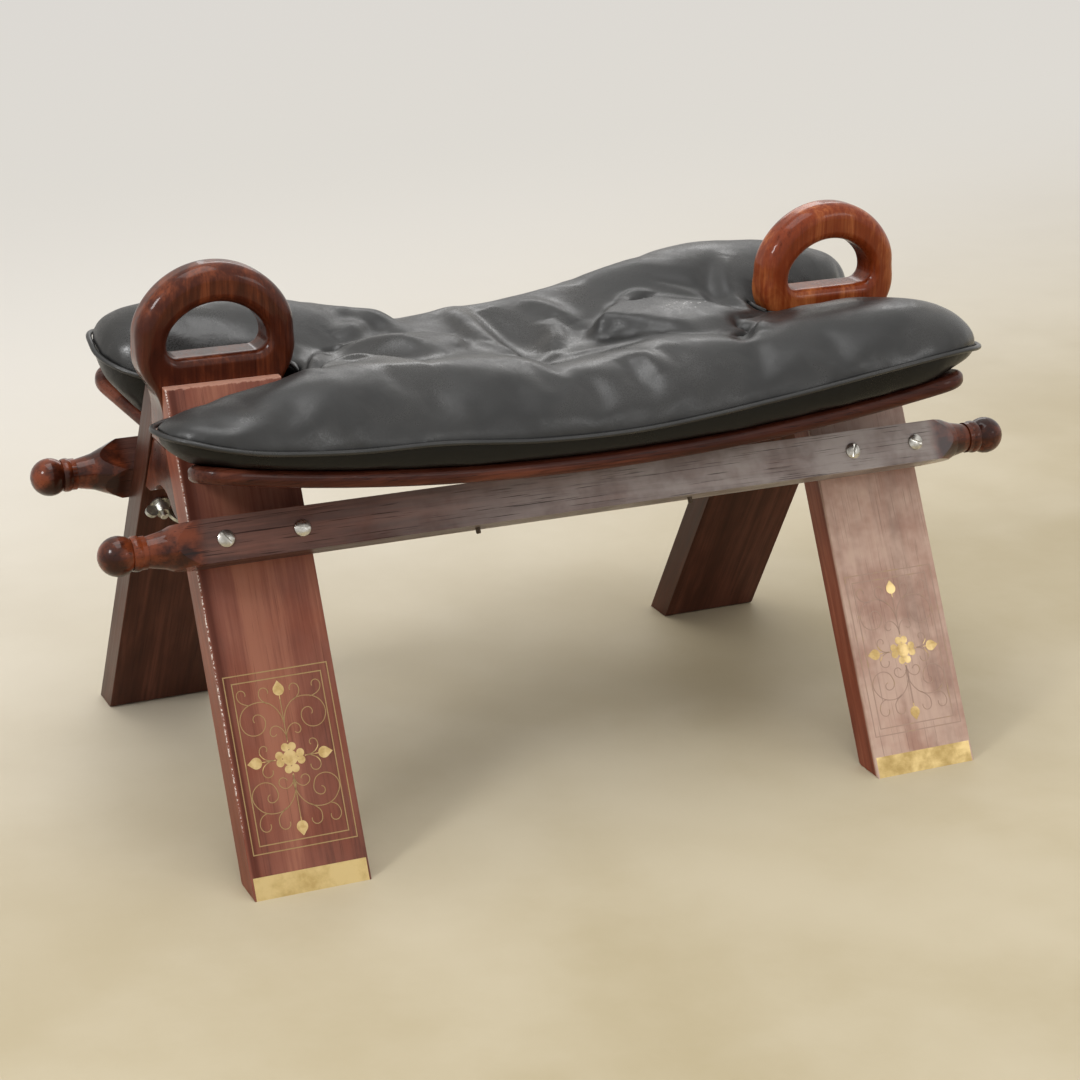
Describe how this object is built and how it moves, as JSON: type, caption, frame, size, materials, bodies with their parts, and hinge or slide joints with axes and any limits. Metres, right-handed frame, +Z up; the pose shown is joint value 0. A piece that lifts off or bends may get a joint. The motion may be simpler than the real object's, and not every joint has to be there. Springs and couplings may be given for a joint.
{
  "type": "camel saddle stool",
  "caption": "Saddle-curved stool with splayed wooden end frames, D-shaped pommel handles, turned side rails, brass inlay and a black leather cushion.",
  "frame": {"origin": "on the floor under the middle of the stool", "axes": "+X along the saddle to the right-hand end, +Y to the rear, +Z up"},
  "size_m": [0.7282, 0.3832, 0.4025],
  "materials": {
    "leg_wood": "satin red-brown rosewood, worn at the edges",
    "pommel_wood": "glossy polished red-brown rosewood",
    "rail_wood": "satin dark brown, open grain",
    "board_wood": "satin dark brown",
    "brass": "aged, scuffed sheet brass",
    "inlay_brass": "aged inlay flush with the wood",
    "nickel": "dull nickel plate",
    "wing_nut_brass": "cast, dull",
    "cushion_leather": "black, creased, soft sheen, welted seams"
  },
  "bodies": {
    "stool": {"leg_front_left": "leg_wood", "foot_strip_front_left": "brass", "inlay_front_left": "inlay_brass", "washers_front_left": "nickel", "leg_front_right": "leg_wood", "foot_strip_front_right": "brass", "inlay_front_right": "inlay_brass", "washers_front_right": "nickel", "leg_rear_left": "leg_wood", "foot_strip_rear_left": "brass", "inlay_rear_left": "inlay_brass", "washers_rear_left": "nickel", "leg_rear_right": "leg_wood", "foot_strip_rear_right": "brass", "inlay_rear_right": "inlay_brass", "washers_rear_right": "nickel", "pommel_left": "pommel_wood", "apron_left": "leg_wood", "pommel_right": "pommel_wood", "apron_right": "leg_wood", "rail_front": "rail_wood", "seat_board_front": "board_wood", "board_screws_front": "nickel", "rail_rear": "rail_wood", "seat_board_rear": "board_wood", "board_screws_rear": "nickel", "bolt_front_left_outer": "nickel", "bolt_front_left_inner": "nickel", "bolt_front_right_outer": "nickel", "bolt_front_right_inner": "nickel", "bolt_rear_left_outer": "nickel", "bolt_rear_left_inner": "nickel", "bolt_rear_right_outer": "nickel", "bolt_rear_right_inner": "nickel", "cushion": "cushion_leather"},
    "wing_nut_front_left_outer": {"wing_nut_front_left_outer": "wing_nut_brass"},
    "wing_nut_front_left_inner": {"wing_nut_front_left_inner": "wing_nut_brass"},
    "wing_nut_front_right_outer": {"wing_nut_front_right_outer": "wing_nut_brass"},
    "wing_nut_front_right_inner": {"wing_nut_front_right_inner": "wing_nut_brass"},
    "wing_nut_rear_left_outer": {"wing_nut_rear_left_outer": "wing_nut_brass"},
    "wing_nut_rear_left_inner": {"wing_nut_rear_left_inner": "wing_nut_brass"},
    "wing_nut_rear_right_outer": {"wing_nut_rear_right_outer": "wing_nut_brass"},
    "wing_nut_rear_right_inner": {"wing_nut_rear_right_inner": "wing_nut_brass"}
  },
  "joints": [
    {"name": "wing_nut_front_left_outer_turn", "type": "hinge", "parent": "stool", "child": "wing_nut_front_left_outer", "pos_m": [-0.2773, -0.04843, 0.20475], "axis": [0, -0.8829, 0.4695], "continuous": true},
    {"name": "wing_nut_front_left_inner_turn", "type": "hinge", "parent": "stool", "child": "wing_nut_front_left_inner", "pos_m": [-0.2217, -0.04843, 0.20475], "axis": [0, -0.8829, 0.4695], "continuous": true},
    {"name": "wing_nut_front_right_outer_turn", "type": "hinge", "parent": "stool", "child": "wing_nut_front_right_outer", "pos_m": [0.2773, -0.04843, 0.20475], "axis": [0, -0.8829, 0.4695], "continuous": true},
    {"name": "wing_nut_front_right_inner_turn", "type": "hinge", "parent": "stool", "child": "wing_nut_front_right_inner", "pos_m": [0.2217, -0.04843, 0.20475], "axis": [0, -0.8829, 0.4695], "continuous": true},
    {"name": "wing_nut_rear_left_outer_turn", "type": "hinge", "parent": "stool", "child": "wing_nut_rear_left_outer", "pos_m": [-0.2773, 0.04843, 0.20475], "axis": [0, 0.8829, 0.4695], "continuous": true},
    {"name": "wing_nut_rear_left_inner_turn", "type": "hinge", "parent": "stool", "child": "wing_nut_rear_left_inner", "pos_m": [-0.2217, 0.04843, 0.20475], "axis": [0, 0.8829, 0.4695], "continuous": true},
    {"name": "wing_nut_rear_right_outer_turn", "type": "hinge", "parent": "stool", "child": "wing_nut_rear_right_outer", "pos_m": [0.2773, 0.04843, 0.20475], "axis": [0, 0.8829, 0.4695], "continuous": true},
    {"name": "wing_nut_rear_right_inner_turn", "type": "hinge", "parent": "stool", "child": "wing_nut_rear_right_inner", "pos_m": [0.2217, 0.04843, 0.20475], "axis": [0, 0.8829, 0.4695], "continuous": true}
  ]
}
